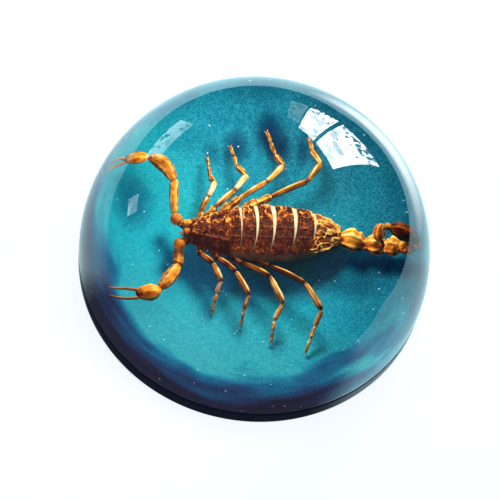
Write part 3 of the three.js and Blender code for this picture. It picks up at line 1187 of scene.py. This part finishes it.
paper, tree, shader = glowing("white_sheet", (1, 1, 1), 1.0)
beside = position(tree, (-0.35, 0.94, 0), -1.0)
inward = maths(tree, "MULTIPLY", position(tree, (1, 1.4, 0), 110.0), 0.25)
past_shade = position(tree, (0.497, 0.867, 0), 25.5)
near_side = maths(tree, "MAXIMUM", past_shade, maths(tree, "MINIMUM", beside, inward))
fade = ((0.0, 0.05), (0.04, 0.25), (0.10, 0.95), (0.25, 1.05), (0.50, 1.25), (0.80, 1.3))
fade_stops = [(at, tuple(share * k for k in SHEET_TINT)) for at, share in fade]
lit = ramp(tree, maths(tree, "DIVIDE", near_side, 100.0), fade_stops)
oval = tree.nodes.new("ShaderNodeMapping")
oval.vector_type = "TEXTURE"
oval.inputs["Location"].default_value = (0.053, 0.062, 0)
oval.inputs["Rotation"].default_value = (0, 0, math.radians(18))
oval.inputs["Scale"].default_value = (0.023, 0.052, 1)
tree.links.new(object_place(tree), oval.inputs["Vector"])
patch = maths(tree, "SUBTRACT", 1.0, vectors(tree, "LENGTH", oval.outputs["Vector"]))
patch = maths(tree, "MINIMUM", maths(tree, "MULTIPLY", maths(tree, "MAXIMUM", patch, 0.0), 1.6), 1.0)
tree.links.new(blend(tree, patch, lit, PATCH_GLOW), shader.inputs["Emission Color"])

sheet_along = Vector((math.cos(SHEET_TURN), math.sin(SHEET_TURN)))
sheet_across = Vector((-math.sin(SHEET_TURN), math.cos(SHEET_TURN)))
sheet_centre = SHEET_CORNER - (sheet_along + sheet_across) * SHEET_WIDTH / 2
sheet = flat_piece("sheet", sheet_centre, SHEET_TURN, SHEET_WIDTH, 0.0, paper)
unseen(sheet, "camera", "shadow", "diffuse", "transmission")

# %% Floor, table and ceiling
FLOOR_GLOW = 0.93
VEIL_GLOW = 0.20

white, tree, shader = new_finish("white_floor", Roughness=0.6, Specular_IOR_Level=0.1)
mottle = ramp(tree, noise(tree, 0.02, 2), [(0.3, (0.86, 0.87, 0.88)), (0.7, (0.89, 0.90, 0.91))])
tree.links.new(mottle, shader.inputs["Base Color"])
shader.inputs["Emission Color"].default_value = (0.95, 0.98, 1.0, 1)
shader.inputs["Emission Strength"].default_value = FLOOR_GLOW
floor = flat_piece("floor", (0, 0), 0.0, 6000, -0.05, white)
unseen(floor, "glossy", "transmission", "diffuse")

# The dark table is painted shade: it stands in for the floor in the dome's shadow, and the camera never sees
# it.
grey, tree, shader = new_finish("grey_table", Roughness=1.0, Specular_IOR_Level=0.0)
grain_of_table = ramp(tree, noise(tree, 0.01, 3), [(0.3, (0.035, 0.04, 0.055)), (0.7, (0.045, 0.055, 0.075))])
tree.links.new(grain_of_table, shader.inputs["Base Color"])
unseen(flat_piece("table", (0, 0), 0.0, 6000, -1.5, grey), "camera")

room_grey, _, _ = glowing("room_grey", (0.72, 0.85, 1.0), VEIL_GLOW)
ceiling = flat_piece("ceiling", (0, 0), 0.0, 9000, 2600, room_grey)
unseen(ceiling, "camera", "diffuse", "transmission", "shadow")

# %% [markdown]
# ## Windows and lamps
#
# Two tall bright panes stand behind on the right with a pale curtain beside them, a dim leafy one behind on
# the left, and a small one on the left. Only mirrors show them. Light that a dome gathers is too noisy to
# sample, so two small helper lights stand in the resin for it: a strong one behind and a faint violet one
# in front.

# %% Windows
WALL = 1500
TOP = 0.82 * WALL
SKY_BLUE = (0.75, 0.9, 1.0)


def daylight(name, brightness, color, leaves=None):
    """What a window shows: even sky with faint shades, and, if wanted, dark leaves. Leaves are where a
    noise, less a share of the height, passes the value leaves, so they get fewer higher up."""
    material, tree, shader = glowing(name, color, brightness)
    sky = ramp(tree, noise(tree, 0.004, 2), [(0.38, tuple(0.45 * k for k in color)), (0.50, color)])
    if leaves is not None:
        height = maths(tree, "MULTIPLY", position(tree, (0, 0, 1)), 0.55 / WALL)
        leafy = maths(tree, "SUBTRACT", noise(tree, 0.016, 4, (1, 1, 0.6)), height)
        sky = blend(tree, maths(tree, "GREATER_THAN", leafy, leaves), sky, (0.03, 0.05, 0.06))
    tree.links.new(sky, shader.inputs["Emission Color"])
    return material


def window(name, wall_bearing, bearings, heights, material):
    """A glowing pane in a wall. Bearings are degrees from +Y towards +X, as seen from the dome, and heights
    are mm above the table. A bearing b on a wall that faces bearing w lies WALL times tan(b - w) aside of
    its middle."""
    facing = math.radians(wall_bearing)
    outward = np.array((math.sin(facing), math.cos(facing), 0))
    aside = np.array((math.cos(facing), -math.sin(facing), 0))
    left, right = (WALL * math.tan(math.radians(b) - facing) for b in bearings)
    low, high = heights
    places = ((left, low), (right, low), (right, high), (left, high))
    pane = mesh_plane(name, [outward * WALL + aside * x + (0, 0, z) for x, z in places], material)
    unseen(pane, "camera", "diffuse", "transmission", "shadow")


garden = daylight("daylight", 22.0, (0.96, 0.98, 1.0), leaves=0.47)
dim = daylight("daylight_dim", 7.35, (0.72, 0.92, 1.0))
shaded = daylight("daylight_shaded", 4.9, SKY_BLUE, leaves=0.52)
curtain = daylight("daylight_curtain", 1.6, SKY_BLUE)
window("window_left_pane", 71.5, (18.3, 28.4), (-10, TOP), garden)
window("window_right_pane", 71.5, (30.2, 49.7), (-10, TOP), garden)
window("window_curtain", 71.5, (11.5, 17.4), (-10, 0.86 * TOP), curtain)
window("window_far_left", -35.0, (-48.0, -27.5), (-10, 0.22 * WALL), shaded)
window("window_left", -70.0, (-76.0, -67.2), (0, 0.13 * WALL), dim)


# %% Lamps
def lamp(name, shape, size_m, watts, color, place_m, away):
    """An area light at a place, with its back turned in the direction away."""
    light = bpy.data.lights.new(name, "AREA")
    light.shape = shape
    light.size = size_m
    light.color = color
    light.energy = watts
    made = bpy.data.objects.new(name, light)
    bpy.context.scene.collection.objects.link(made)
    made.matrix_world = Matrix.Translation(place_m) @ away.to_track_quat("Z", "Y").to_matrix().to_4x4()
    return made


def soft_box(name, bearing, elevation, irradiance, size_m, color):
    """A square light a metre away that aims at the dome, with a power of irradiance times pi. It is left
    out of mirror reflections, so that the dome only mirrors the windows."""
    a, e = math.radians(bearing), math.radians(elevation)
    outward = Vector((math.sin(a) * math.cos(e), math.cos(a) * math.cos(e), math.sin(e)))
    made = lamp(name, "SQUARE", size_m, irradiance * math.pi, color, outward, outward)
    unseen(made, "glossy")


def gathered(name, place_mm, radius_mm, irradiance, color):
    """A small round light inside the dome that aims at the middle of the layer. It has no falloff with
    distance, as light that a lens has gathered has almost none, and only diffuse surfaces take its
    light."""
    away = Vector(place_mm) - Vector((0, 0, LAYER_TOP))
    made = lamp(name, "DISK", 2 * radius_mm * MM, irradiance * math.pi, color, Vector(place_mm) * MM, away)
    made.data.use_nodes = True
    tree = made.data.node_tree
    no_falloff = tree.nodes.new("ShaderNodeLightFalloff")
    no_falloff.inputs["Strength"].default_value = 1.0
    tree.links.new(no_falloff.outputs["Constant"], tree.nodes["Emission"].inputs["Strength"])
    unseen(made, "camera", "glossy", "transmission")


soft_box("key_back", 14, 36, 1.1, 0.5, (0.4, 0.6, 1.0))
gathered("gathered_back", (1.5, 19, 31), 7.0, 6.1, (1, 1, 1))
gathered("gathered_front", (-22, -14, 24), 5.0, 1.45, (0.85, 0.42, 1.0))

# %% Soft room light
world = bpy.data.worlds.new("room")
bpy.context.scene.world = world
world.use_nodes = True
background = world.node_tree.nodes["Background"]
background.inputs["Color"].default_value = (0.35, 0.55, 1.0, 1)
background.inputs["Strength"].default_value = 0.12

# %% [markdown]
# ## Camera
#
# The camera looks down at 61 degrees from ten dome radii away, a little from the head's side, and is rolled
# by 12 degrees. Its lens is set so that the dome fills 70 percent of the frame.

# %% Camera
FRAME_PIXELS = 500
ELEVATION, BEARING, ROLL = math.radians(61), math.radians(-10), math.radians(12)
DISTANCE = 380
AIM_RIGHT, AIM_DOWN = 4.5, 2.0

flat_toward = Vector((math.sin(BEARING), -math.cos(BEARING), 0))
toward_camera = flat_toward * math.cos(ELEVATION) + Vector((0, 0, math.sin(ELEVATION)))
level_right = Vector((math.cos(BEARING), math.sin(BEARING), 0))
level_up = toward_camera.cross(level_right)
camera_right = math.cos(ROLL) * level_right + math.sin(ROLL) * level_up
camera_up = math.cos(ROLL) * level_up - math.sin(ROLL) * level_right
lens = bpy.data.cameras.new("camera")
lens.sensor_width = 36
lens.lens = 126
camera = bpy.data.objects.new("camera", lens)
bpy.context.scene.collection.objects.link(camera)
mm_per_pixel = DISTANCE * lens.sensor_width / lens.lens / FRAME_PIXELS
aside = (camera_up * AIM_DOWN - camera_right * AIM_RIGHT) * mm_per_pixel
eye = Vector((0, 0, LAYER_TOP)) + toward_camera * DISTANCE + aside
axes = Matrix((camera_right, camera_up, toward_camera)).transposed().to_4x4()
camera.matrix_world = Matrix.Translation(eye * MM) @ axes
bpy.context.scene.camera = camera
bpy.context.scene.view_settings.view_transform = "Standard"
print(f"camera {DISTANCE} mm from the dome, {mm_per_pixel:.3f} mm to a pixel")
